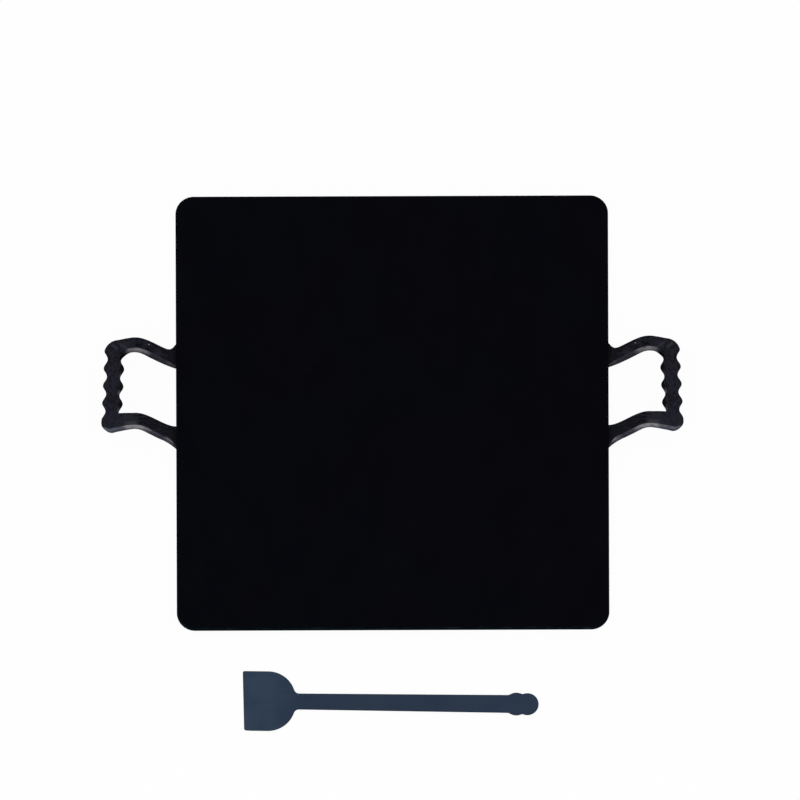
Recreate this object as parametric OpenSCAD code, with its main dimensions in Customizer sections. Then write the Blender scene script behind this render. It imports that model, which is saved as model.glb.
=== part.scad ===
// Camp griddle plate: a square steel plate with a bent handle welded to each side, and its loose scraper.
// Millimetres. The origin is at the middle of the plate's underside, +Z is up, and -Y is the cook's side.

/* [Plate] */
// Width of the plate between the two handles
plate_w = 400; // [300:1:600]
// Depth of the plate from the cook's side to the rear
plate_d = 414; // [300:1:600]
// Thickness of the steel that the plate and the handles are cut from
stock_t = 8; // [6:0.5:12]
// Radius of the plate's corners, seen from above
corner_r = 17; // [5:0.5:40]

/* [Handle grip] */
// Distance of the handles behind the middle of the plate
handle_shift = 16.7; // [0:0.1:40]
// Distance from the plate's side to the middle of the grip
grip_reach = 58.1; // [56:0.1:80]
// Distance between the middles of two beads of the grip
bead_pitch = 16.6; // [14:0.1:20]
// Width of the grip across a bead
bead_w = 17.8; // [13:0.1:19]
// Width of the grip at the notch between two beads
notch_w = 10.6; // [8:0.1:12]
// Radius of the handle's rear outer corner
rear_corner_r = 13; // [9:0.1:14]
// Radius of the handle's front outer corner
front_corner_r = 8.3; // [7:0.1:13]
// Radius of the inner corner between the rear arm and the grip
corner_fillet_r = 6.4; // [3:0.1:7]
// Angle by which the grip's cook's end stands further out
grip_lean = 2.8; // [0:0.1:6]

/* [Handle arms] */
// Width of the rear arm, seen from above
rear_arm_w = 12.5; // [9:0.1:15]
// Width of the front arm, seen from above
front_arm_w = 13.7; // [9:0.1:15]
// Distance of each arm's middle line outside the end bead's middle
arm_step = 3.2; // [0:0.1:5]
// Width added to the outer side of each arm where it meets the plate
foot_flare = 6.4; // [0:0.1:12]
// Length of arm over which that width fades away
foot_flare_length = 11; // [5:0.5:14]
// Width added to the inner side of the rear arm where it meets the plate
foot_fillet = 2.8; // [0:0.1:4]
// Length of arm over which that width fades away
foot_fillet_length = 13; // [5:0.5:15]
// Width added to the inner side of the front arm where it runs into the grip
grip_web = 3; // [0:0.1:6]
// Width taken off the outer side of the rear arm where it runs into the grip
rear_taper = 0.5; // [0:0.1:1]

/* [Handle bend seen from the side] */
// Radius of the bend up from the plate, at the middle of the steel
rise_bend_r = 15; // [12:0.5:20]
// Steepest angle of the arm
rise_angle = 34; // [20:1:45]
// Length of the straight part of the climb
rise_straight = 18.3; // [5:0.1:22]
// Radius of the bend over the crest, at the middle of the steel
crest_bend_r = 29; // [20:0.5:32]
// Angle at which the grip falls away from the crest
fall_angle = 19; // [5:1:30]

/* [Handle sweep seen from above] */
// Radius of the arm's turn towards the rear
sweep_bend_r = 50; // [30:1:70]
// Largest angle of the arm towards the rear
sweep_angle = 18.5; // [5:0.5:22]
// Length of the straight part of the sweep
sweep_straight = 14; // [0:0.2:16]
// Radius of the arm's turn back
return_bend_r = 27; // [20:1:50]
// Angle of the arm towards the front where it runs into the grip
return_angle = 6; // [0:1:12]

/* [Welds] */
// Height of the bare edge left between the two weld grooves
root_face = 3; // [2:0.1:5]
// Height of the upper weld above the plate
weld_crown = 0.5; // [0.1:0.1:1.5]

/* [Scraper] */
// Thickness of the scraper's steel
scraper_t = 2; // [1:0.1:4]
// Length of the scraper from its edge to the end of its knob
scraper_l = 273; // [220:1:340]
// Width of the blade
blade_w = 56.8; // [40:0.2:90]
// Length of the blade's straight sides
blade_side = 22.7; // [10:0.1:40]
// Radius of the blade's round shoulders
shoulder_r = 25.4; // [20:0.1:28]
// Slant of the cutting edge across the blade's width
edge_slant = 2; // [0:0.1:5]
// Length of the bevel ground under the cutting edge
bevel_l = 6; // [2:0.5:12]
// Thickness left at the cutting edge
edge_t = 0.6; // [0.2:0.1:0.9]
// Width of the shank beside the blade
shank_w = 15; // [10:0.1:18]
// Width of the shank beside the knob
shank_end_w = 16.9; // [12:0.1:20]
// Length of the widening where the shank meets the blade
neck_l = 4; // [2:0.5:8]
// Radius of the bead between the shank and the knob
collar_r = 10.8; // [9:0.1:14]
// Radius of the round end of the knob
knob_r = 10.4; // [9:0.1:14]
// Distance between the middles of the bead and the knob
knob_step = 10.3; // [5:0.1:16]
// Distance of the scraper's middle line in front of the plate
scraper_gap = 69.3; // [40:0.1:150]
// Distance of the scraper's middle to the left of the plate's
scraper_left = 2.2; // [-50:0.1:50]
// Angle of the scraper, turned clockwise from the plate's front edge
scraper_turn = 0.9; // [-10:0.1:10]

/* [Hidden] */

$fn = 96;
LEFT = -1;
RIGHT = 1;
REAR = 1;
FRONT = -1;

// The grip has three whole beads between its two corner beads
end_bead = 2 * bead_pitch;
arm_middle = end_bead + arm_step;

// The grip's half width swings between the beads and the notches in a wave of this many points a bead
grip_half_w = (bead_w + notch_w) / 4;
grip_swing = (bead_w - notch_w) / 4;
bead_points = 12;

// Each outer corner of the handle is part of a disc that meets the end bead where that is widest,
// and stands a little proud of the arm
corner_proud = 0.4;

// A wave starts level, bends up, runs straight, bends over a crest and falls away in a straight tail:
// [first radius, climb, straight length, crest radius, fall]
rise_wave = [rise_bend_r, rise_angle, rise_straight, crest_bend_r, fall_angle];
sweep_wave = [sweep_bend_r, sweep_angle, sweep_straight, return_bend_r, return_angle];
wave_steps = 12;

// Both weld grooves are cut at 45 degrees into the arm's foot, above and below the bare edge
groove = (stock_t - root_face) / 2;
weld_r = groove + weld_crown;

// The blade's shoulders are at most half round
blade_round_r = min(shoulder_r, blade_w / 2);
knob_middle = scraper_l - knob_r;
collar_middle = knob_middle - knob_step;

// The cutters that shape a handle stand well clear of the steel above and below it
handle_span = 2 * (arm_middle + max(rear_arm_w, front_arm_w) + foot_flare + bead_pitch);
cutter_h = 2 * grip_reach;
cutter_lead = 1;
tail_l = grip_reach;

grip_height = stock_t / 2 + tail_height(rise_wave, grip_reach);
grip_sweep = tail_height(sweep_wave, grip_reach);

// Width of one arm and radius of its outer corner
function arm_w(arm) = arm == REAR ? rear_arm_w : front_arm_w;
function outer_corner_r(arm) = arm == REAR ? rear_corner_r : front_corner_r;

// Distance of a corner disc's middle along the grip, and in from the grip's middle line
function corner_middle(arm) = arm_middle + arm_w(arm) / 2 + corner_proud - outer_corner_r(arm);
function corner_in(arm) = let (short = max(0, end_bead - corner_middle(arm)))
    sqrt(pow(outer_corner_r(arm), 2) - pow(short, 2)) - bead_w / 2;

// Point where a wave's crest bend ends and its straight tail starts
function tail_start(w) = [
    (w[0] + w[3]) * sin(w[1]) + w[2] * cos(w[1]) + w[3] * sin(w[4]),
    (w[0] + w[3]) * (1 - cos(w[1])) + w[2] * sin(w[1]) - w[3] * (1 - cos(w[4]))
];

// Height of a wave's tail at a distance out from the start of the wave
function tail_height(w, out) = tail_start(w)[1] - (out - tail_start(w)[0]) * tan(w[4]);

// Stations along a wave's middle line, each [distance out, height, heading]
function wave_path(w, tail) = let (
    crest = tail_start(w) - w[3] * [sin(w[4]), cos(w[4])],
    end = tail_start(w) + tail * [cos(w[4]), -sin(w[4])]
) concat(
    [for (i = [0 : wave_steps])
        let (a = w[1] * i / wave_steps)
        [w[0] * sin(a), w[0] * (1 - cos(a)), a]],
    [for (i = [0 : wave_steps])
        let (a = w[1] - (w[1] + w[4]) * i / wave_steps)
        [crest[0] - w[3] * sin(a), crest[1] + w[3] * cos(a), a]],
    [[end[0], end[1], -w[4]]]
);

// Point beside a station, to the left of the heading
function beside(s, distance) = [s[0] - distance * sin(s[2]), s[1] + distance * cos(s[2])];

// Width that an arm's foot adds at a distance out from the plate, on the arm's outer and inner side
function fading(out, most, length) = most * pow(max(0, 1 - out / length), 2);
function flare_at(out) = fading(out, foot_flare, foot_flare_length);
function fillet_at(out) = fading(out, foot_fillet, foot_fillet_length);

// Change of an arm's width at a distance out, growing evenly from the arm's last turn to its end
function growing(out, end, most) = let (start = tail_start(sweep_wave)[0])
    most * max(0, (out - start) / (end - start));

// Rectangle with round corners, centred
module rounded_rectangle(w, d, r) {
    square([w - 2 * r, d], center = true);
    square([w, d - 2 * r], center = true);
    for (x = [-1, 1], y = [-1, 1])
        translate([x * (w / 2 - r), y * (d / 2 - r)])
            circle(r);
}

// Side view of a handle: the bent steel with its foot grooved above and below for welding
module handle_side() {
    path = wave_path(rise_wave, tail_l);
    upper = [for (s = path) beside(s, stock_t / 2)];
    lower = [for (i = [len(path) - 1 : -1 : 0]) beside(path[i], -stock_t / 2)];
    difference() {
        translate([0, stock_t / 2])
            polygon(concat(upper, lower));
        translate([0, stock_t - groove])
            polygon([[-stock_t, -stock_t], [stock_t, stock_t], [-stock_t, stock_t]]);
        translate([0, groove])
            polygon([[-stock_t, stock_t], [stock_t, -stock_t], [-stock_t, -stock_t]]);
    }
}

// Plan of one arm from just inside the plate's side to the handle's corner
module arm_plan(arm) {
    corner_out = grip_reach - corner_in(arm) - arm * corner_middle(arm) * sin(grip_lean);
    tail = (corner_out - tail_start(sweep_wave)[0]) / cos(return_angle);
    path = wave_path(sweep_wave, tail);
    left = [for (s = path)
        beside(s, arm_w(arm) / 2 + (arm == REAR
            ? flare_at(s[0]) - growing(s[0], corner_out, rear_taper)
            : growing(s[0], corner_out, grip_web)))];
    right = [for (i = [len(path) - 1 : -1 : 0])
        beside(path[i], -arm_w(arm) / 2 - (arm == FRONT ? flare_at(path[i][0]) : fillet_at(path[i][0])))];
    lead = [[-cutter_lead, right[len(right) - 1][1]], [-cutter_lead, left[0][1]]];
    translate([0, arm * arm_middle])
        polygon(concat(left, right, lead));
}

// Outline of the grip: a beaded bar between two corner discs, lying along Y
module grip_plan() {
    wave = [for (i = [-2 * bead_points : 2 * bead_points])
        [grip_half_w + grip_swing * cos(360 * i / bead_points), i * bead_pitch / bead_points]];
    polygon(concat(wave, [for (i = [len(wave) - 1 : -1 : 0]) [-wave[i][0], wave[i][1]]]));
    corner_plan(REAR);
    mirror([0, 1])
        corner_plan(FRONT);
    rear_corner_fillet();
}

// Round outer corner past an end bead, with a straight side where its disc stands further along than the bead
module corner_plan(arm) {
    r = outer_corner_r(arm);
    straight = max(0, corner_middle(arm) - end_bead);
    translate([-corner_in(arm), 0])
        intersection() {
            union() {
                translate([0, corner_middle(arm)])
                    circle(r);
                if (straight > 0)
                    translate([-r, end_bead])
                        square([2 * r, straight]);
            }
            translate([-2 * bead_w, end_bead])
                square([4 * bead_w, 2 * bead_pitch]);
        }
}

// Round inner corner between the rear arm and the first notch of the grip
module rear_corner_fillet() {
    notch_at = [-notch_w / 2, end_bead - bead_pitch / 2];
    difference() {
        translate(notch_at - [corner_fillet_r, 0])
            square([corner_fillet_r, arm_middle - notch_at[1]]);
        translate(notch_at - [corner_fillet_r, 0])
            circle(corner_fillet_r);
    }
}

// One handle at the origin, reaching out along +X
module handle_shape() {
    intersection() {
        rotate([90, 0, 0])
            linear_extrude(handle_span, center = true)
                handle_side();
        union() {
            for (arm = [REAR, FRONT])
                linear_extrude(cutter_h, center = true)
                    arm_plan(arm);
            translate([grip_reach, grip_sweep, grip_height])
                rotate([0, fall_angle, 0])
                    rotate([0, 0, grip_lean])
                        linear_extrude(3 * stock_t, center = true)
                            grip_plan();
        }
    }
}

// Side view of the upper weld run: a wedge with a round crown, in the groove above the bare edge
module top_weld_side() {
    translate([0, stock_t - groove])
        intersection() {
            circle(weld_r);
            polygon([[0, 0], [2 * weld_r, 2 * weld_r], [0, 2 * weld_r]]);
        }
}

// Side view of the lower weld run, ground flush with the plate's underside
module root_weld_side() {
    polygon([[0, 0], [groove, 0], [0, groove]]);
}

// One weld run across an arm's foot, cut to the foot's width
module weld_run(arm) {
    intersection() {
        rotate([90, 0, 0])
            linear_extrude(handle_span, center = true)
                children();
        linear_extrude(cutter_h, center = true)
            arm_plan(arm);
    }
}

// Puts what is drawn for the right-hand side against the plate's left or right side
module at_side(side) {
    mirror([side == LEFT ? 1 : 0, 0, 0])
        translate([plate_w / 2, handle_shift, 0])
            children();
}

module griddle_plate() {
    color([0.03, 0.03, 0.05])
        linear_extrude(stock_t)
            rounded_rectangle(plate_w, plate_d, corner_r);
}

module handle(side) {
    color([0.11, 0.11, 0.14])
        at_side(side)
            handle_shape();
}

module top_weld(side, arm) {
    color([0.2, 0.18, 0.17])
        at_side(side)
            weld_run(arm)
                top_weld_side();
}

module root_weld(side, arm) {
    color([0.2, 0.18, 0.17])
        at_side(side)
            weld_run(arm)
                root_weld_side();
}

// Front of the blade, with its cutting edge through the origin and straight sides along +X
module blade_front() {
    linear_extrude(scraper_t)
        polygon([
            [-edge_slant / 2, blade_w / 2], [edge_slant / 2, -blade_w / 2],
            [blade_side, -blade_w / 2], [blade_side, blade_w / 2]
        ]);
}

// Round shoulders behind the straight sides, parts of two discs that start inside the blade
module blade_shoulders() {
    linear_extrude(scraper_t)
        intersection() {
            for (side = [-1, 1])
                translate([blade_side, side * (blade_w / 2 - blade_round_r)])
                    circle(blade_round_r);
            translate([blade_side / 2, -blade_w])
                square(2 * blade_w);
        }
}

// Shank that widens into the blade at one end and ends inside the bead beside the knob
module shank() {
    neck_start = blade_side + blade_round_r - neck_l / 2;
    half = [
        [blade_side / 2, shank_w / 2 + neck_l], [neck_start, shank_w / 2 + neck_l],
        [neck_start + neck_l, shank_w / 2], [collar_middle, shank_end_w / 2]
    ];
    other_half = [for (i = [len(half) - 1 : -1 : 0]) [half[i][0], -half[i][1]]];
    linear_extrude(scraper_t)
        polygon(concat(half, other_half));
}

// Wedge that is ground away under the cutting edge
module edge_bevel() {
    slant_turn = atan(edge_slant / blade_w);
    ground = scraper_t - edge_t;
    rotate([90, 0, slant_turn])
        linear_extrude(2 * blade_w, center = true)
            polygon([[2 * bevel_l, -ground], [-bevel_l, 2 * ground], [-bevel_l, -ground]]);
}

module scraper() {
    color([0.19, 0.24, 0.31])
        translate([-scraper_left, -plate_d / 2 - scraper_gap, 0])
            rotate([0, 0, -scraper_turn])
                translate([-scraper_l / 2, 0, 0])
                    difference() {
                        union() {
                            blade_front();
                            blade_shoulders();
                            shank();
                            translate([collar_middle, 0, 0])
                                cylinder(scraper_t, r = collar_r);
                            translate([knob_middle, 0, 0])
                                cylinder(scraper_t, r = knob_r);
                        }
                        edge_bevel();
                    }
}

griddle_plate();
handle(LEFT);  // left_handle
handle(RIGHT);  // right_handle
top_weld(LEFT, REAR);  // left_rear_top_weld
root_weld(LEFT, REAR);  // left_rear_root_weld
top_weld(LEFT, FRONT);  // left_front_top_weld
root_weld(LEFT, FRONT);  // left_front_root_weld
top_weld(RIGHT, REAR);  // right_rear_top_weld
root_weld(RIGHT, REAR);  // right_rear_root_weld
top_weld(RIGHT, FRONT);  // right_front_top_weld
root_weld(RIGHT, FRONT);  // right_front_root_weld
scraper();
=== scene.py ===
# Camp griddle plate: the edges, welds and finish of the plate, its two beaded handles and the loose scraper.
# Metres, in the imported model's frame: the origin is under the plate's middle, +Z is up, the cook is at -Y.
import math

import bmesh
import bpy
import numpy as np
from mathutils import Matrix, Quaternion, Vector


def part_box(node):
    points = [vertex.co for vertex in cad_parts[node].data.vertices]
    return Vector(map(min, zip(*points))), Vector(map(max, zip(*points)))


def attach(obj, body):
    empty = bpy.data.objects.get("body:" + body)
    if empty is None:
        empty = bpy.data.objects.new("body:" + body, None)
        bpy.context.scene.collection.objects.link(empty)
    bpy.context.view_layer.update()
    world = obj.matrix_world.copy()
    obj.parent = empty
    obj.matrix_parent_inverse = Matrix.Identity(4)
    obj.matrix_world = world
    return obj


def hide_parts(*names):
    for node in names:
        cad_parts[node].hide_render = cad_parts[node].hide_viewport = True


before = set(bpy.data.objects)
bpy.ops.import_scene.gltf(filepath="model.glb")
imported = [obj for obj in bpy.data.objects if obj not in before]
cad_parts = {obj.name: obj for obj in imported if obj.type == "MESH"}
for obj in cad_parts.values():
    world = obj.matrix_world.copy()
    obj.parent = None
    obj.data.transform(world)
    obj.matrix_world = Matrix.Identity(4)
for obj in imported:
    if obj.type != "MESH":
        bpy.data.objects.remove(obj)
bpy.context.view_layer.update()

# The plate: its box from the frame, its round corners and the ease of its edges
PLATE_LOW, PLATE_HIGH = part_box("griddle_plate")
PLATE_W = PLATE_HIGH.x - PLATE_LOW.x
STOCK = PLATE_HIGH.z - PLATE_LOW.z
PLATE_CORNER_R = 0.017
PLATE_EASE = 0.0011

# The handles, at the sizes of the construction
REAR, FRONT = 1, -1
LEFT, RIGHT = -1, 1
HANDLE_SHIFT = 0.0167
GRIP_REACH = 0.0581
GRIP_LEAN = math.radians(2.8)
BEAD_PITCH = 0.0166
END_BEAD = 2 * BEAD_PITCH
BEAD_W = 0.0178
NOTCH_W = 0.0106
ARM_W = {REAR: 0.0125, FRONT: 0.0137}
ARM_STEP = 0.0032
ARM_MIDDLE = END_BEAD + ARM_STEP
CORNER_R = {REAR: 0.0130, FRONT: 0.0083}
CORNER_PROUD = 0.0004
FOOT_FLARE, FOOT_FLARE_LENGTH = 0.0064, 0.011
FOOT_FILLET, FOOT_FILLET_LENGTH = 0.0028, 0.013
GRIP_WEB, REAR_TAPER = 0.0030, 0.0005

# Middle of each outer corner's disc, along the grip and in from the grip's middle line
CORNER_MIDDLE = {arm: ARM_MIDDLE + ARM_W[arm] / 2 + CORNER_PROUD - CORNER_R[arm] for arm in ARM_W}
CORNER_SHORT = {arm: max(0, END_BEAD - CORNER_MIDDLE[arm]) for arm in ARM_W}
CORNER_IN = {arm: math.sqrt(CORNER_R[arm] ** 2 - CORNER_SHORT[arm] ** 2) - BEAD_W / 2 for arm in ARM_W}

# Blends between the arms, the grip and the corners, and the handles' eased edges
REAR_FILLET_R, FRONT_FILLET_R, CORNER_BLEND_R = 0.0062, 0.0022, 0.0006
SMALL_CHAMFER, LOWER_EASE = 0.0005, 0.0005

# Width of the chamfer ground on the cook's side of each arm, in stops of (distance out, width)
GROUND = {
    REAR: [(0, 0.0007), (0.012, 0.0012), (0.020, 0.0017), (0.030, 0.0019), (0.036, 0.0024)],
    FRONT: [(0, 0.0005), (0.006, 0.0007), (0.024, 0.0011), (0.034, 0.0019), (0.045, 0.0022)],
}

# The weld runs stop short of the foot's corners and taper off
WELD_END, WELD_TAPER = 0.0012, 0.003

# The scraper, at the sizes of the construction
SCRAPER_T = 0.002
SCRAPER_L = 0.273
BLADE_W = 0.0568
BLADE_SIDE = 0.0227
SHOULDER_R = 0.0254
EDGE_SLANT = 0.002
BEVEL_L, BEVEL_RISE = 0.006, 0.0014
SHANK_W, SHANK_END_W = 0.0150, 0.0169
COLLAR_R, KNOB_R, KNOB_STEP = 0.0108, 0.0104, 0.0103
KNOB_MIDDLE = SCRAPER_L - KNOB_R
COLLAR_MIDDLE = KNOB_MIDDLE - KNOB_STEP
SCRAPER_LEFT, SCRAPER_GAP = 0.0022, 0.0693
SCRAPER_PLACE = Vector((-SCRAPER_LEFT, PLATE_LOW.y - SCRAPER_GAP, 0))
SCRAPER_TURN = math.radians(-0.9)

# The scraper's round corners and eased edges
BLADE_TIP_R = 0.0014
NECK_R, COLLAR_FILLET_R, KNOB_FILLET_R = 0.0033, 0.0006, 0.0006
SCRAPER_EASE = 0.0004

# The photograph's view, in its 800 by 800 pixels
PICTURE = 800
PLATE_PIXELS = 432.6
PLATE_AT = (392.4, 412.0)
VIEW_HEIGHT = math.radians(75)
VIEW_ROLL = math.radians(0.2)


class Wave:
    """Middle line of a strip that starts level, bends up, runs straight, bends over a crest and falls away.

    The climb and the fall are angles in degrees.
    """

    LENGTH = 0.1
    STEPS = 4001

    def __init__(self, first_r, climb, straight, crest_r, fall):
        climb, fall = math.radians(climb), math.radians(fall)
        turns = np.cumsum([0, first_r * climb, straight, crest_r * (climb + fall)])
        self.along = np.linspace(0, self.LENGTH, self.STEPS)
        self.heading = np.interp(self.along, turns, [0, climb, climb, -fall])
        step = self.along[1]
        between = (self.heading[1:] + self.heading[:-1]) / 2
        self.out = np.append(0, np.cumsum(step * np.cos(between)))
        self.height = np.append(0, np.cumsum(step * np.sin(between)))
        self.tail_along = turns[-1]
        self.tail_out = np.interp(self.tail_along, self.along, self.out)

    def at(self, along):
        """Distance out, height and heading at a length along the line."""
        return [np.interp(along, self.along, value) for value in (self.out, self.height, self.heading)]

    def over(self, out):
        """Height and heading at a distance out."""
        return [np.interp(out, self.out, value) for value in (self.height, self.heading)]


# A handle's rise seen from the side and its arms' sweep seen from above, at the sizes of the construction
RISE = Wave(first_r=0.015, climb=34, straight=0.0183, crest_r=0.029, fall=19)
SWEEP = Wave(first_r=0.050, climb=18.5, straight=0.014, crest_r=0.027, fall=6)
GRIP_SWEEP = SWEEP.over(GRIP_REACH)[0]


# Outlines, as fields that are negative inside a shape

def joined(a, b, fillet_r):
    """Union of two fields with a round inner corner of about the given radius."""
    reach_per_radius = 1.17
    reach = reach_per_radius * fillet_r
    share = np.clip(0.5 + (b - a) / (2 * reach), 0, 1)
    return b + (a - b) * share - reach * share * (1 - share)


def fading(out, most, length):
    """Width that fades away over a length of arm from most beside the plate, and levels off inside it."""
    levelling = 0.003
    inside = most + 2 * most / length * levelling * (1 - np.exp(np.minimum(out, 0) / levelling))
    return np.where(out < 0, inside, most * np.maximum(0, 1 - out / length) ** 2)


def arm_field(out, across, arm):
    """One arm, seen from above: out runs away from the plate and across runs to the rear."""
    sweep, turn = SWEEP.over(out)
    beside = arm * (across - sweep) - ARM_MIDDLE
    corner_out = GRIP_REACH - CORNER_IN[arm] - arm * CORNER_MIDDLE[arm] * math.sin(GRIP_LEAN)
    to_grip = np.maximum(0, (out - SWEEP.tail_out) / (corner_out - SWEEP.tail_out))
    outer = ARM_W[arm] / 2 + fading(out, FOOT_FLARE, FOOT_FLARE_LENGTH)
    inner = ARM_W[arm] / 2
    if arm == REAR:
        outer = outer - REAR_TAPER * to_grip
        inner = inner + fading(out, FOOT_FILLET, FOOT_FILLET_LENGTH)
    else:
        inner = inner + GRIP_WEB * to_grip
    sides = np.maximum(beside - outer, -beside - inner) * np.cos(turn)
    return np.maximum(sides, out - corner_out)


def bar_field(aside, along):
    """The beaded bar of the grip: along runs along the bar to the rear, and aside runs out across it."""
    wave = 2 * math.pi / BEAD_PITCH
    middle, swing = (BEAD_W + NOTCH_W) / 4, (BEAD_W - NOTCH_W) / 4
    slope = swing * wave * np.sin(wave * along)
    sides = (np.abs(aside) - middle - swing * np.cos(wave * along)) / np.hypot(1, slope)
    return np.maximum(sides, np.abs(along) - END_BEAD)


def corner_field(aside, along, arm):
    """The part of a disc that rounds one of the handle's outer corners past the end bead."""
    past_middle = np.maximum(arm * along - CORNER_MIDDLE[arm], 0)
    disc = np.hypot(aside + CORNER_IN[arm], past_middle) - CORNER_R[arm]
    return np.maximum(disc, END_BEAD - arm * along)


def handle_field(along, across):
    """A handle's flat blank before it is bent: along runs out from the plate and across runs to the rear."""
    out = np.where(along < 0, along, RISE.at(along)[0])
    past_along = along - np.interp(GRIP_REACH, RISE.out, RISE.along)
    past_across = across - GRIP_SWEEP
    bar_aside = past_along * math.cos(GRIP_LEAN) + past_across * math.sin(GRIP_LEAN)
    bar_along = past_across * math.cos(GRIP_LEAN) - past_along * math.sin(GRIP_LEAN)
    whole = bar = bar_field(bar_aside, bar_along)
    for arm, fillet_r in ((REAR, REAR_FILLET_R), (FRONT, FRONT_FILLET_R)):
        arm_part = arm_field(out, across, arm)
        into_corner = joined(arm_part, corner_field(bar_aside, bar_along, arm), CORNER_BLEND_R)
        into_grip = joined(bar, arm_part, fillet_r)
        whole = np.minimum(whole, np.minimum(into_corner, into_grip))
    return whole


def scraper_field(x, y):
    """The scraper's outline: x runs from the cutting edge to the knob and y across the blade."""
    edge_part = np.clip(1 - x / BLADE_SIDE, 0, 1)
    straight = x + edge_part * y * EDGE_SLANT / BLADE_W
    blade_l = BLADE_SIDE + SHOULDER_R
    radius = np.where(straight < blade_l / 2, BLADE_TIP_R, SHOULDER_R)
    side_x = np.abs(straight - blade_l / 2) - blade_l / 2 + radius
    side_y = np.abs(y) - BLADE_W / 2 + radius
    blade = np.hypot(np.maximum(side_x, 0), np.maximum(side_y, 0)) - radius
    blade = blade + np.minimum(np.maximum(side_x, side_y), 0)
    widening = np.clip((x - blade_l) / (COLLAR_MIDDLE - blade_l), 0, 1)
    shank = np.abs(y) - (SHANK_W + (SHANK_END_W - SHANK_W) * widening) / 2
    shank = np.maximum(shank, np.maximum(BLADE_SIDE - x, x - COLLAR_MIDDLE))
    collar = np.hypot(x - COLLAR_MIDDLE, y) - COLLAR_R
    knob = np.hypot(x - KNOB_MIDDLE, y) - KNOB_R
    whole = joined(blade, shank, NECK_R)
    whole = joined(whole, collar, COLLAR_FILLET_R)
    return joined(whole, knob, KNOB_FILLET_R)


def crossing_route(inside):
    """Edges of a grid that a closed outline crosses, in order, each as a pair of grid points."""
    corners = inside[:-1, :-1].astype(int) + inside[1:, :-1] + inside[:-1, 1:] + inside[1:, 1:]
    beside = {}
    for i, j in np.argwhere((corners > 0) & (corners < 4)):
        ring = [(i, j), (i + 1, j), (i + 1, j + 1), (i, j + 1)]
        sides = zip(ring, ring[1:] + ring[:1])
        crossed = [frozenset((a, b)) for a, b in sides if inside[a] != inside[b]]
        for here, there in (crossed, crossed[::-1]):
            beside.setdefault(here, []).append(there)
    start = next(iter(beside))
    route = [start, beside[start][0]]
    while route[-1] != start:
        route.append(next(edge for edge in beside[route[-1]] if edge != route[-2]))
    return route


def outline_of(field, low, high, step, spacing):
    """Closed anticlockwise outline where a field is zero, found on a grid and given evenly spaced points."""
    xs = np.arange(low[0], high[0] + step, step)
    ys = np.arange(low[1], high[1] + step, step)
    values = field(*np.meshgrid(xs, ys, indexing="ij"))
    points = []
    for edge in crossing_route(values < 0):
        a, b = sorted(edge)
        share = values[a] / (values[a] - values[b])
        points.append([xs[a[0]] + share * (xs[b[0]] - xs[a[0]]), ys[a[1]] + share * (ys[b[1]] - ys[a[1]])])
    points = np.array(points)
    run = np.append(0, np.cumsum(np.linalg.norm(np.diff(points, axis=0), axis=1)))
    marks = np.linspace(0, run[-1], int(run[-1] / spacing), endpoint=False)
    even = np.column_stack([np.interp(marks, run, points[:, k]) for k in (0, 1)])
    return anticlockwise(smoothed(even))


def smoothed(outline):
    """Evens out the small steps that the grid leaves in an outline."""
    return (np.roll(outline, 1, axis=0) + 2 * outline + np.roll(outline, -1, axis=0)) / 4


def anticlockwise(outline):
    """The same outline, turned round if it runs clockwise."""
    x, y = outline.T
    turned = np.sum(x * np.roll(y, -1) - y * np.roll(x, -1))
    return outline if turned > 0 else outline[::-1]


def outward(outline):
    """Unit normals of an anticlockwise outline."""
    tangent = np.roll(outline, -1, axis=0) - np.roll(outline, 1, axis=0)
    normal = np.column_stack([tangent[:, 1], -tangent[:, 0]])
    return normal / np.linalg.norm(normal, axis=1)[:, None]


def rounded_rectangle(low, high, radius, steps):
    """Anticlockwise outline of a rectangle with round corners."""
    points = []
    for corner, (x, y) in enumerate([(high.x, high.y), (low.x, high.y), (low.x, low.y), (high.x, low.y)]):
        middle_x = x - math.copysign(radius, x)
        middle_y = y - math.copysign(radius, y)
        for step in range(steps + 1):
            angle = math.pi / 2 * (corner + step / steps)
            points.append([middle_x + radius * math.cos(angle), middle_y + radius * math.sin(angle)])
    return np.array(points)


# Meshes

FACE, EDGE = 0, 1

# Sections of an eased edge from the wall to the face, each (inset, drop) as shares of the ease
ROUND_EDGE = [(0, 1), (0.08, 0.62), (0.3, 0.3), (0.62, 0.08), (1, 0)]
CHAMFERED_EDGE = [(0, 1.12), (0.05, 0.98), (0.16, 0.82), (0.86, 0.12), (1, 0)]


def slab(outline, thickness, lower_ease, upper_ease, upper_shape):
    """A plate of the given outline with two flat faces, whose edges are eased by so much at each point."""
    bm = bmesh.new()
    to_cook = bm.verts.layers.float.new("to_cook")
    normals = outward(outline)
    steps = [(inset * lower_ease, drop * lower_ease) for inset, drop in reversed(ROUND_EDGE)]
    steps += [(inset * upper_ease, thickness - drop * upper_ease) for inset, drop in upper_shape]
    rings = []
    for inset, height in steps:
        inset, height = np.broadcast_to(inset, len(outline)), np.broadcast_to(height, len(outline))
        spots = np.column_stack([outline - inset[:, None] * normals, height])
        rings.append([bm.verts.new(spot) for spot in spots])
        for vert, normal in zip(rings[-1], normals):
            vert[to_cook] = -normal[1]
    for lower, upper in zip(rings, rings[1:]):
        for i in range(len(outline)):
            face = bm.faces.new((lower[i - 1], lower[i], upper[i], upper[i - 1]))
            face.material_index = EDGE
    bm.faces.new(rings[-1]).material_index = FACE
    bm.faces.new(rings[0][::-1]).material_index = FACE
    bm.normal_update()
    return bm


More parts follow.
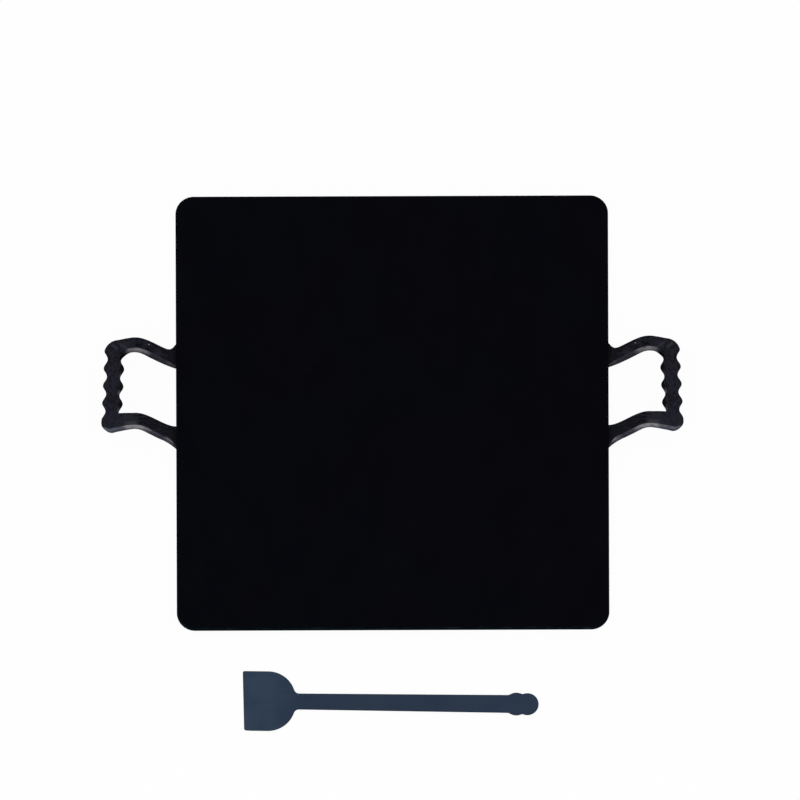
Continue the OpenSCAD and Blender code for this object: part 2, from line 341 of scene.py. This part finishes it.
def cut_across(bm, along, clear=False):
    """Cuts a slab at a distance along X, and drops what lies before the cut if asked."""
    everything = bm.verts[:] + bm.edges[:] + bm.faces[:]
    bmesh.ops.bisect_plane(
        bm, geom=everything, dist=1e-7, plane_co=(along, 0, 0), plane_no=(1, 0, 0), clear_inner=clear
    )
    if clear:
        bmesh.ops.holes_fill(bm, edges=[edge for edge in bm.edges if edge.is_boundary])


def finished(bm, name, body, nodes, materials):
    """Turns a bmesh into a smooth piece that rides on a body and stands for CAD nodes."""
    mesh = bpy.data.meshes.new(name)
    bm.to_mesh(mesh)
    bm.free()
    mesh.shade_smooth()
    for material in materials:
        mesh.materials.append(material)
    piece = bpy.data.objects.new(name, mesh)
    bpy.context.scene.collection.objects.link(piece)
    normals = piece.modifiers.new("even_normals", "WEIGHTED_NORMAL")
    normals.keep_sharp = True
    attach(piece, body)
    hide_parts(*nodes)
    return piece


def plate_piece(materials):
    """The plate, with eased edges all round."""
    corner_steps = 16
    outline = rounded_rectangle(PLATE_LOW, PLATE_HIGH, PLATE_CORNER_R, corner_steps)
    bm = slab(outline, STOCK, PLATE_EASE, PLATE_EASE, ROUND_EDGE)
    return finished(bm, "seasoned_plate", "griddle", ["griddle_plate"], materials)


def blank_outline():
    """Outline of a handle's flat blank, with round feet that run on a little inside the plate."""
    foot_lead, foot_round_r = 0.012, 0.006
    foot_margin, grip_margin, side_margin = 0.002, 0.032, 0.020
    grid, spacing = 0.0004, 0.0007
    span = ARM_MIDDLE + max(ARM_W.values()) + side_margin
    return outline_of(
        lambda along, across: -joined(-handle_field(along, across), along + foot_lead, foot_round_r),
        (-foot_lead - foot_margin, -span), (RISE.tail_along + grip_margin, span), grid, spacing,
    )


def ground_chamfer(outline):
    """Width of a handle's upper chamfer at each point of its outline, wide where it turns to the cook."""
    arms_from, front_corner_from, fade = 0.35, 0.10, 0.4
    turned_from = np.where(outline[:, 1] < -END_BEAD, front_corner_from, arms_from)
    to_cook = np.clip((-outward(outline)[:, 1] - turned_from) / fade, 0, 1)
    out = RISE.at(outline[:, 0])[0]
    ground = {arm: np.interp(out, *zip(*stops)) for arm, stops in GROUND.items()}
    wide = np.where(outline[:, 1] > 0, ground[REAR], ground[FRONT])
    return SMALL_CHAMFER + np.maximum(0, wide - SMALL_CHAMFER) * to_cook


def handle_piece(side, name, node, materials):
    """A handle: its flat blank with chamfered edges, bent along the rise and put against the plate's side."""
    bend_step = 0.0012
    outline = blank_outline()
    bm = slab(outline, STOCK, LOWER_EASE, ground_chamfer(outline), CHAMFERED_EDGE)
    bmesh.ops.triangulate(bm, faces=[face for face in bm.faces if face.material_index == FACE])
    cut_across(bm, 0, clear=True)
    for along in np.arange(bend_step, RISE.tail_along + bend_step, bend_step):
        cut_across(bm, along)
    blank = bm.verts.layers.float_vector.new("blank")
    for vert in bm.verts:
        along, across, level = vert.co
        out, height, heading = RISE.at(along)
        vert[blank] = (out, across, level)
        above = level - STOCK / 2
        vert.co = (
            side * (PLATE_HIGH.x + out - above * math.sin(heading)),
            HANDLE_SHIFT + across,
            STOCK / 2 + height + above * math.cos(heading),
        )
    if side == LEFT:
        bmesh.ops.reverse_faces(bm, faces=bm.faces[:])
    return finished(bm, name, "griddle", [node], materials)


def weld_piece(name, node, materials):
    """A weld run: a rippled bead with round ends that fills its groove."""
    low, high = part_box(node)
    middle, half = (low + high) / 2, (high - low) / 2
    ripple, ripple_depth, bow = 0.0013, 0.055, 0.8
    steps, around = 96, 20
    half.y -= WELD_END
    bm = bmesh.new()
    rings = []
    for step in range(steps):
        along = -half.y * math.cos(math.pi * (step + 0.5) / steps)
        into_end = max(0, (abs(along) - half.y + WELD_TAPER) / WELD_TAPER)
        taper = math.sqrt(max(0, 1 - into_end ** 2))
        ring = []
        for turn in range(around):
            angle = 2 * math.pi * turn / around
            phase = along / ripple - bow * math.cos(angle) ** 2
            size = taper * (1 - ripple_depth * (phase % 1) ** 2)
            ring.append(bm.verts.new((
                middle.x + half.x * size * math.cos(angle),
                middle.y + along,
                middle.z + half.z * size * math.sin(angle),
            )))
        rings.append(ring)
    for before, after in zip(rings, rings[1:]):
        for i in range(around):
            bm.faces.new((before[i - 1], before[i], after[i], after[i - 1]))
    bm.faces.new(rings[0][::-1])
    bm.faces.new(rings[-1])
    bmesh.ops.recalc_face_normals(bm, faces=bm.faces[:])
    return finished(bm, name, "griddle", [node], materials)


def scraper_piece(materials):
    """The scraper: blade, shank and knob from one sheet, with a bevel ground under the cutting edge."""
    margin, grid, spacing = 0.004, 0.0005, 0.0009
    span = BLADE_W / 2 + margin
    outline = outline_of(scraper_field, (-margin, -span), (SCRAPER_L + margin, span), grid, spacing)
    bm = slab(outline, SCRAPER_T, SCRAPER_EASE, SCRAPER_EASE, ROUND_EDGE)
    for along in (BEVEL_L / 2, BEVEL_L):
        cut_across(bm, along)
    turn = Quaternion((0, 0, 1), SCRAPER_TURN)
    for vert in bm.verts:
        x, y, level = vert.co
        from_edge = x + y * EDGE_SLANT / BLADE_W
        rise = BEVEL_RISE * min(1, max(0, 1 - from_edge / BEVEL_L))
        vert.co.z = rise + level * (SCRAPER_T - rise) / SCRAPER_T
        vert.co = SCRAPER_PLACE + turn @ (vert.co - Vector((SCRAPER_L / 2, 0, 0)))
    return finished(bm, "flat_scraper", "loose_scraper", ["scraper"], materials)


# Finishes

# Length that the stops along a handle or its grip are counted over
HANDLE_L = 0.09


class Nodes:
    """Short calls that add nodes to a material's tree or to the world's."""

    def __init__(self, tree):
        self.tree = tree

    def add(self, kind, inputs=(), **settings):
        node = self.tree.nodes.new(kind)
        for name, value in settings.items():
            setattr(node, name, value)
        for name, value in dict(inputs).items():
            self.feed(node.inputs[name], value)
        return node

    def feed(self, socket, value):
        """Links another node's output to a socket, or sets the socket to a plain value."""
        if isinstance(value, bpy.types.NodeSocket):
            self.tree.links.new(value, socket)
        else:
            socket.default_value = value

    def math(self, operation, a, b=0.0):
        return self.add("ShaderNodeMath", {0: a, 1: b}, operation=operation).outputs[0]

    def plus(self, a, b):
        return self.math("ADD", a, b)

    def minus(self, a, b):
        return self.math("SUBTRACT", a, b)

    def times(self, *values):
        product = values[0]
        for value in values[1:]:
            product = self.math("MULTIPLY", product, value)
        return product

    def axes(self, vector):
        return self.add("ShaderNodeSeparateXYZ", {0: vector}).outputs

    def attribute(self, name, output="Vector"):
        return self.add("ShaderNodeAttribute", attribute_name=name).outputs[output]

    def slanted(self, where, slope):
        """The same place, slid along its first axis as its second grows."""
        x, y, z = self.axes(where)
        slid = self.plus(x, self.times(y, slope))
        return self.add("ShaderNodeCombineXYZ", {0: slid, 1: y, 2: z}).outputs[0]

    def noise(self, where, scale, detail=2.0, stretch=(1, 1, 1)):
        """Noise from 0 to 1 with so many lumps a metre, drawn out where stretch is small."""
        drawn = self.add("ShaderNodeVectorMath", {0: where, 1: stretch}, operation="MULTIPLY").outputs[0]
        return self.add("ShaderNodeTexNoise", {"Vector": drawn, "Scale": scale, "Detail": detail}).outputs[0]

    def ramp(self, value, low, high, start=0.0, end=1.0):
        """Smooth step from start at low to end at high."""
        inputs = {"Value": value, "From Min": low, "From Max": high, "To Min": start, "To Max": end}
        return self.add("ShaderNodeMapRange", inputs, interpolation_type="SMOOTHSTEP").outputs[0]

    def near(self, value, middle, reach):
        """1 close to a place along an axis, falling to 0 at a distance from it."""
        core = 0.3 * reach
        away = self.math("ABSOLUTE", self.minus(value, middle))
        return self.ramp(away, core, reach, 1.0, 0.0)

    def stops(self, value, full, *places):
        """Value that follows a row of stops, each (place, level), where places run from 0 to full."""
        node = self.add("ShaderNodeValToRGB", {0: self.math("DIVIDE", value, full)})
        row = node.color_ramp.elements
        while len(row) < len(places):
            row.new(1.0)
        for stop, (place, level) in zip(row, places):
            stop.position = place / full
            stop.color = (level, level, level, 1.0)
        return node.outputs[0]

    def mix(self, share, a, b):
        inputs = {0: share, 6: a, 7: b}
        return self.add("ShaderNodeMix", inputs, data_type="RGBA").outputs[2]


class Finish(Nodes):
    """A material with a Principled shader."""

    def __init__(self, name, specular, metallic=0.0):
        self.material = bpy.data.materials.new(name)
        self.material.use_nodes = True
        super().__init__(self.material.node_tree)
        self.shader = self.tree.nodes["Principled BSDF"]
        self.shader.inputs["Specular IOR Level"].default_value = specular
        self.shader.inputs["Metallic"].default_value = metallic
        self.place = self.add("ShaderNodeTexCoord").outputs["Object"]

    def set(self, **inputs):
        for name, value in inputs.items():
            self.feed(self.shader.inputs[name.replace("_", " ")], value)

    def bump(self, height, depth):
        node = self.add("ShaderNodeBump", {"Height": height, "Strength": 1.0, "Distance": depth})
        self.feed(self.shader.inputs["Normal"], node.outputs[0])


class HandleFinish(Finish):
    """A finish of a handle, with the places on its flat blank before it was bent."""

    def __init__(self, name, specular):
        super().__init__(name, specular)
        self.blank = self.attribute("blank")
        self.out, self.across, self.level = self.axes(self.blank)
        past_reach = self.minus(self.out, GRIP_REACH)
        past_sweep = self.minus(self.across, GRIP_SWEEP)
        lean = math.sin(GRIP_LEAN)
        self.along_grip = self.minus(past_sweep, self.times(past_reach, lean))
        self.across_grip = self.plus(past_reach, self.times(past_sweep, lean))
        half_fade, grip_from, grip_full = 0.002, 0.044, 0.050
        self.at_rear = self.ramp(self.across, -half_fade, half_fade)
        self.at_front = self.ramp(self.across, half_fade, -half_fade)
        self.on_grip = self.ramp(self.out, grip_from, grip_full)


def rgb(red, green, blue):
    return (red, green, blue, 1.0)


def seasoned_face():
    """Cooking surface: oil baked on to near black, in faint blue and plum clouds with a fine grain."""
    finish = Finish("seasoned_face", specular=0.04)
    to_right = finish.times(finish.axes(finish.place)[0], 0.4)
    clouds = finish.ramp(finish.plus(finish.noise(finish.place, 9, 3), to_right), 0.40, 0.60)
    pores = finish.noise(finish.place, 1100, 2)
    smears = finish.noise(finish.place, 40, 4, (1, 0.6, 1))
    base = finish.mix(clouds, rgb(0.0008, 0.0012, 0.0027), rgb(0.0012, 0.0010, 0.0026))
    finish.set(Base_Color=base, Roughness=finish.ramp(smears, 0.3, 0.7, 0.43, 0.53))
    finish.bump(pores, 0.00003)
    return finish.material


def seasoned_edge():
    """Edge of the plate: the same black with a cold tint, in level streaks where it was cut and rubbed."""
    finish = Finish("seasoned_edge", specular=0.0)
    rubbed = finish.ramp(finish.noise(finish.place, 420, 3, (0.15, 0.15, 1)), 0.40, 0.70)
    base = finish.mix(rubbed, rgb(0.0018, 0.0034, 0.0050), rgb(0.0060, 0.0098, 0.0128))
    finish.set(Base_Color=base, Roughness=0.7)
    finish.bump(finish.noise(finish.place, 700, 3), 0.00005)
    return finish.material


def handle_lines(finish):
    """Lines drawn along the arms and hatched on the grip, calmer in the grip's corners."""
    drawn = finish.ramp(finish.noise(finish.blank, 800, 4, (0.28, 1, 1)), -0.04, 1.04)
    slants = [finish.slanted(finish.blank, slope) for slope in (0.45, -0.35)]
    hatches = [finish.noise(slant, 1050, 2, (1, 0.25, 1)) for slant in slants]
    hatched = finish.plus(finish.times(finish.minus(*hatches), 1.6), 0.54)
    lines = finish.mix(finish.on_grip, drawn, hatched)
    rear_corner = finish.ramp(finish.along_grip, 0.012, 0.020)
    front_corner = finish.ramp(finish.along_grip, -0.018, -0.023)
    calm = finish.times(finish.on_grip, finish.plus(rear_corner, front_corner), 0.6)
    return finish.mix(calm, lines, rgb(0.55, 0.55, 0.55))


def handle_scratches(finish):
    """Fine scratches along the arms and, a little slanted, along the grip."""
    on_arms = finish.noise(finish.blank, 3000, 2, (0.05, 1, 1))
    on_grip = finish.noise(finish.slanted(finish.blank, 0.3), 3000, 2, (1, 0.05, 1))
    return finish.mix(finish.on_grip, on_arms, on_grip)


def painted_light_along_handle(finish):
    """Painted shade on feet and climbs, painted light past the crests, light and dark stretches on the grip.
    """
    rear = finish.stops(
        finish.out, HANDLE_L, (0, 0.0), (0.010, 0.0), (0.016, 0.60), (0.020, 0.70), (0.026, 0.52),
        (0.036, 0.52), (0.040, 1.0),
    )
    front = finish.stops(
        finish.out, HANDLE_L, (0, 0.10), (0.006, 0.10), (0.014, 0.22), (0.024, 0.12), (0.034, 0.45),
        (0.037, 1.0),
    )
    from_front = finish.plus(finish.along_grip, HANDLE_L / 2)
    grip = finish.stops(
        from_front, HANDLE_L, (0, 0.95), (0.011, 0.85), (0.017, 0.70), (0.023, 0.62), (0.028, 0.55),
        (0.032, 0.30), (0.036, 0.90), (0.045, 0.95), (0.055, 0.85), (0.061, 0.62), (0.077, 0.42),
    )
    return finish.mix(finish.on_grip, finish.mix(finish.at_rear, front, rear), grip)


def handle_steel(finish, shade):
    """Steel dark to light by shade, with painted light over the front crest, colder on parts of the grip."""
    crest_out, crest_reach = 0.0425, 0.0085
    cold_places, cold_reach = (0.006, -0.026), 0.009
    tint = finish.ramp(finish.noise(finish.blank, 130, 2), 0.42, 0.58)
    dark = finish.mix(tint, rgb(0.0014, 0.0018, 0.0038), rgb(0.0022, 0.0017, 0.0038))
    light = finish.mix(tint, rgb(0.0130, 0.0145, 0.0222), rgb(0.0152, 0.0140, 0.0212))
    # Painted light over the front arm's crest
    painted_crest_light = finish.times(finish.near(finish.out, crest_out, crest_reach), finish.at_front)
    light = finish.mix(painted_crest_light, light, rgb(0.0178, 0.0184, 0.0262))
    cold = finish.plus(*[finish.near(finish.along_grip, place, cold_reach) for place in cold_places])
    light = finish.mix(finish.times(finish.on_grip, cold), light, rgb(0.0138, 0.0140, 0.0268))
    return finish.mix(finish.ramp(shade, 0.54, 0.71), dark, light)


def handle_marks(finish, steel):
    """Burnt by the rear weld, a painted highlight on the front crest, light streaks and a painted glint."""
    burn_out, burn_w = 0.0056, 0.0015
    highlight_out, highlight_reach, highlight_from, highlight_full = 0.0415, 0.0065, -0.0275, -0.0315
    streak_outs, streak_across, streak_w, streak_l = (0.0479, 0.0556), 0.0432, 0.0032, 0.0075
    speck_out, speck_across, speck_r = 0.0266, 0.0450, 0.0007
    burnt = finish.times(finish.at_rear, finish.near(finish.out, burn_out, burn_w), 0.7)
    steel = finish.mix(burnt, steel, rgb(0.0100, 0.0040, 0.0080))
    # Painted highlight on the top face just over the front crest
    over_crest = finish.near(finish.out, highlight_out, highlight_reach)
    painted_crest_highlight = finish.times(over_crest, finish.ramp(finish.across, highlight_from, highlight_full))
    steel = finish.mix(painted_crest_highlight, steel, rgb(0.036, 0.037, 0.043))
    for streak_out in streak_outs:
        from_streak = finish.minus(finish.out, streak_out)
        from_middle = finish.minus(finish.across, streak_across)
        beside = finish.near(finish.minus(from_streak, from_middle), 0.0, streak_w)
        length = finish.near(finish.plus(from_streak, from_middle), 0.0, streak_l)
        steel = finish.mix(finish.times(beside, length, 0.6), steel, rgb(0.034, 0.033, 0.042))
    # A painted glint on the rear arm
    at_speck = finish.near(finish.out, speck_out, speck_r)
    painted_glint = finish.times(at_speck, finish.near(finish.across, speck_across, speck_r))
    return finish.mix(painted_glint, steel, rgb(0.26, 0.26, 0.28))


def handle_face():
    """Flat faces of a handle: dark satin steel, grinding lines, scratches, marks, painted light and shade."""
    finish = HandleFinish("handle_face", specular=0.04)
    lines = handle_lines(finish)
    scratches = handle_scratches(finish)
    blotches = finish.noise(finish.blank, 240, 3)
    fine = finish.plus(finish.times(blotches, 0.18), finish.times(scratches, 0.14))
    shade = finish.plus(finish.times(lines, 0.68), fine)
    # Painted shade over the feet and climbs, and painted light past the crests
    shade = finish.plus(shade, finish.times(painted_light_along_handle(finish), 0.20))
    steel = handle_steel(finish, shade)
    scratched = finish.ramp(scratches, 0.42, 0.72, 0.0, 0.35)
    steel = handle_marks(finish, finish.mix(scratched, steel, rgb(0.022, 0.023, 0.030)))
    finish.set(Base_Color=steel, Roughness=finish.ramp(lines, 0.3, 0.7, 0.40, 0.52))
    finish.bump(lines, 0.00005)
    return finish.material


def painted_edge_light(finish, grit):
    """Painted light on edges that face the cook: strongest over the crests, and again at the front foot."""
    # Strength of the painted light along each arm
    rear_lit = finish.stops(
        finish.out, HANDLE_L, (0, 0.06), (0.007, 0.15), (0.012, 0.05), (0.024, 0.05), (0.029, 0.46),
        (0.036, 0.60), (0.042, 0.49), (0.046, 0.05),
    )
    front_lit = finish.stops(
        finish.out, HANDLE_L, (0, 0.03), (0.003, 0.14), (0.006, 0.45), (0.010, 0.36), (0.014, 0.09),
        (0.024, 0.13), (0.029, 0.62), (0.033, 0.92), (0.045, 0.66), (0.049, 0.26),
    )
    # The painted light grows up the wall towards the chamfer
    rear_level = finish.stops(
        finish.level, STOCK, (0, 0.45), (0.0045, 0.60), (0.0060, 0.80), (0.0070, 0.85), (0.0077, 0.80),
    )
    front_level = finish.stops(
        finish.level, STOCK, (0, 0.40), (0.0045, 0.50), (0.0060, 0.80), (0.0070, 1.0), (0.0077, 0.95),
    )
    along_arm = finish.mix(finish.at_rear, front_lit, rear_lit)
    up_wall = finish.mix(finish.at_rear, front_level, rear_level)
    patchy = finish.ramp(grit, 0.34, 0.66, 0.60, 1.3)
    lit = finish.times(along_arm, patchy, up_wall, 1.3)
    dim = finish.mix(finish.at_rear, rgb(0.0165, 0.0175, 0.0350), rgb(0.0180, 0.0180, 0.0290))
    rear_foot = finish.times(finish.at_rear, finish.ramp(finish.out, 0.006, 0.010, 1.0, 0.0))
    dim = finish.mix(rear_foot, dim, rgb(0.0260, 0.0190, 0.0240))
    front_corner = finish.times(finish.ramp(finish.out, 0.046, 0.051), finish.at_front)
    # Colour of the full painted light, colder at the front corner
    lit_colour = finish.mix(front_corner, rgb(0.238, 0.226, 0.238), rgb(0.212, 0.218, 0.258))
    return finish.mix(lit, dim, lit_colour)


def bead_sides(finish, inner_side):
    """Other edges: painted shade at each bead's middle, and a painted glint where it runs down to a notch."""
    bead = finish.math("FRACT", finish.plus(finish.math("DIVIDE", finish.along_grip, BEAD_PITCH), 0.5))
    inner = finish.times(inner_side, finish.ramp(finish.out, 0.047, 0.049))
    # Painted shade in the middle of each bead's inner side
    painted_bead_shade = finish.times(inner, finish.near(bead, 0.45, 0.28))
    sides = finish.mix(painted_bead_shade, rgb(0.0150, 0.0155, 0.0210), rgb(0.0060, 0.0060, 0.0085))
    to_front = finish.ramp(finish.along_grip, -0.004, 0.018, 1.0, 0.0)
    lower = finish.ramp(finish.level, 0.0050, 0.0070, 1.0, 0.0)
    # Painted glint where a bead's inner side runs down to a notch
    painted_notch_glint = finish.times(inner, finish.ramp(bead, 0.16, 0.26, 1.0, 0.0), to_front, lower)
    return finish.mix(painted_notch_glint, sides, rgb(0.080, 0.080, 0.090))


def handle_edge():
    """Edges of a handle: painted light where they face the cook, and dark on the other sides."""
    finish = HandleFinish("handle_edge", specular=0.0)
    to_cook = finish.attribute("to_cook", "Fac")
    grit = finish.noise(finish.place, 330, 4, (0.6, 1, 1))
    inner_side = finish.ramp(finish.across_grip, -0.001, 0.001, 1.0, 0.0)

    # The wall in the rear inner corner is painted black as shade
    past_beads = finish.ramp(finish.along_grip, 0.022, 0.027)
    in_corner = finish.times(past_beads, inner_side, finish.ramp(finish.out, 0.0450, 0.0475))
    on_wall = finish.ramp(finish.level, 0.0056, 0.0066, 1.0, 0.0)
    # Painted shade: black on the corner's wall
    black = finish.times(in_corner, on_wall, finish.ramp(to_cook, 0.05, 0.35))
    sides = finish.mix(black, bead_sides(finish, inner_side), rgb(0.0030, 0.0030, 0.0042))

    # The painted light reaches further round the front corner than round the arms
    round_corner = finish.ramp(finish.across, -END_BEAD + 0.001, -END_BEAD - 0.001)
    facing = finish.mix(round_corner, finish.ramp(to_cook, 0.52, 0.85), finish.ramp(to_cook, 0.20, 0.55))
    # Share of each edge that is painted as lit, kept out of the rear inner corner
    ground = finish.times(facing, finish.minus(1.0, in_corner))
    finish.set(Base_Color=finish.mix(ground, sides, painted_edge_light(finish, grit)), Roughness=0.8)
    finish.bump(grit, 0.00006)
    return finish.material


def weld_metal():
    """Weld runs: dark rippled metal with straw and blue heat colours."""
    finish = Finish("weld_metal", specular=0.03)
    heat = finish.noise(finish.place, 260, 3)
    straw = finish.ramp(heat, 0.35, 0.65)
    base = finish.mix(straw, rgb(0.0026, 0.0030, 0.0054), rgb(0.0062, 0.0043, 0.0044))
    finish.set(Base_Color=base, Roughness=finish.ramp(heat, 0.3, 0.7, 0.45, 0.65))
    finish.bump(finish.noise(finish.place, 1500, 2), 0.00005)
    return finish.material


def blued_face():
    """Faces of the scraper: blue-grey satin steel, drawn along its length and paler towards the edge."""
    finish = Finish("blued_face", specular=0.12, metallic=0.3)
    edge_x, pale_l = SCRAPER_PLACE.x - SCRAPER_L / 2, 0.075
    on_blade = finish.ramp(finish.axes(finish.place)[0], edge_x, edge_x + pale_l, 1.0, 0.0)
    patches = finish.ramp(finish.noise(finish.place, 30, 2), 0.35, 0.65)
    drawn = finish.noise(finish.place, 800, 3, (0.05, 1, 1))
    shank = finish.mix(patches, rgb(0.0270, 0.0440, 0.0790), rgb(0.0300, 0.0475, 0.0830))
    blade = finish.mix(patches, rgb(0.0300, 0.0520, 0.0880), rgb(0.0390, 0.0650, 0.1060))
    base = finish.mix(on_blade, shank, blade)
    finish.set(Base_Color=base, Roughness=finish.ramp(drawn, 0.3, 0.7, 0.40, 0.52))
    finish.bump(drawn, 0.00002)
    return finish.material


def blued_edge():
    """Cut edges of the scraper, a shade darker than its faces."""
    finish = Finish("blued_edge", specular=0.0)
    nicks = finish.ramp(finish.noise(finish.place, 300, 3), 0.4, 0.7)
    base = finish.mix(nicks, rgb(0.016, 0.026, 0.045), rgb(0.028, 0.042, 0.066))
    finish.set(Base_Color=base, Roughness=0.7)
    return finish.material


# Stage, light and camera

def floor_paint():
    """Pale paint that shows white to the camera and in reflections, and keeps a faint shadow."""
    shown_white = 0.96
    material = bpy.data.materials.new("pale_floor")
    material.use_nodes = True
    nodes = Nodes(material.node_tree)
    nodes.tree.nodes.clear()
    rays = nodes.add("ShaderNodeLightPath").outputs
    mirrored = nodes.math("MAXIMUM", rays["Is Glossy Ray"], rays["Is Transmission Ray"])
    seen = nodes.math("MAXIMUM", rays["Is Camera Ray"], mirrored)
    paint = nodes.add("ShaderNodeBsdfDiffuse", {"Color": rgb(0.92, 0.92, 0.92)}).outputs[0]
    white = nodes.add("ShaderNodeEmission", {"Strength": 1.0}).outputs[0]
    both = nodes.add("ShaderNodeMixShader", {0: nodes.times(seen, shown_white), 1: paint, 2: white})
    nodes.add("ShaderNodeOutputMaterial", {"Surface": both.outputs[0]})
    return material


def add_floor():
    """Floor just under the object."""
    size, drop = 6.0, 0.0002
    corners = [(-size, -size, 0), (size, -size, 0), (size, size, 0), (-size, size, 0)]
    mesh = bpy.data.meshes.new("floor")
    mesh.from_pydata(corners, [], [(0, 1, 2, 3)])
    mesh.materials.append(floor_paint())
    floor = bpy.data.objects.new("floor", mesh)
    floor.location.z = -drop
    bpy.context.scene.collection.objects.link(floor)


def add_world():
    """Studio walls that are white near the horizon, under a darker ceiling."""
    walls_to, ceiling_from, ceiling_light = math.radians(30), math.radians(68), 0.18
    world = bpy.data.worlds.new("studio")
    world.use_nodes = True
    bpy.context.scene.world = world
    nodes = Nodes(world.node_tree)
    up = nodes.axes(nodes.add("ShaderNodeTexCoord").outputs["Generated"])["Z"]
    light = nodes.ramp(up, math.sin(walls_to), math.sin(ceiling_from), 1.0, ceiling_light)
    nodes.feed(nodes.tree.nodes["Background"].inputs["Color"], light)


def add_lamps():
    """Three large soft lamps: one on each side and one over the cook's shoulder."""
    distance, height, size, power = 2.0, math.radians(42), 1.4, 6.0
    for name, azimuth in (("left_lamp", -100), ("right_lamp", 100), ("front_lamp", 0)):
        light = bpy.data.lights.new(name, "AREA")
        light.size = size
        light.energy = power
        lamp = bpy.data.objects.new(name, light)
        turn = math.radians(azimuth)
        back = Vector((
            math.sin(turn) * math.cos(height), -math.cos(turn) * math.cos(height), math.sin(height)
        ))
        lamp.location = distance * back
        lamp.rotation_mode = "QUATERNION"
        lamp.rotation_quaternion = back.to_track_quat("Z", "Y")
        lamp.visible_camera = False
        bpy.context.scene.collection.objects.link(lamp)


def add_camera():
    """Parallel view from above, with the middle of the cooking surface where the photograph has it."""
    distance = 2.0
    pixel = PLATE_W / PLATE_PIXELS
    data = bpy.data.cameras.new("photo_view")
    data.type = "ORTHO"
    data.ortho_scale = PICTURE * pixel
    data.clip_end = 100
    camera = bpy.data.objects.new("photo_view", data)
    back = Vector((0, -math.cos(VIEW_HEIGHT), math.sin(VIEW_HEIGHT)))
    turn = back.to_track_quat("Z", "Y") @ Quaternion((0, 0, 1), -VIEW_ROLL)
    right, up = turn @ Vector((1, 0, 0)), turn @ Vector((0, 1, 0))
    to_right, to_top = PICTURE / 2 - PLATE_AT[0], PLATE_AT[1] - PICTURE / 2
    aim = Vector((0, 0, STOCK)) + pixel * (to_right * right + to_top * up)
    camera.location = aim + distance * back
    camera.rotation_mode = "QUATERNION"
    camera.rotation_quaternion = turn
    bpy.context.scene.collection.objects.link(camera)
    bpy.context.scene.camera = camera


plate_piece([seasoned_face(), seasoned_edge()])
handle_finishes = [handle_face(), handle_edge()]
handle_piece(LEFT, "left_beaded_handle", "left_handle", handle_finishes)
handle_piece(RIGHT, "right_beaded_handle", "right_handle", handle_finishes)
weld_finish = weld_metal()
for place in ("left_rear", "left_front", "right_rear", "right_front"):
    for run in ("top", "root"):
        weld_piece(f"{place}_{run}_bead", f"{place}_{run}_weld", [weld_finish])
scraper_piece([blued_face(), blued_edge()])

add_floor()
add_world()
add_lamps()
add_camera()
bpy.context.scene.view_settings.view_transform = "Standard"
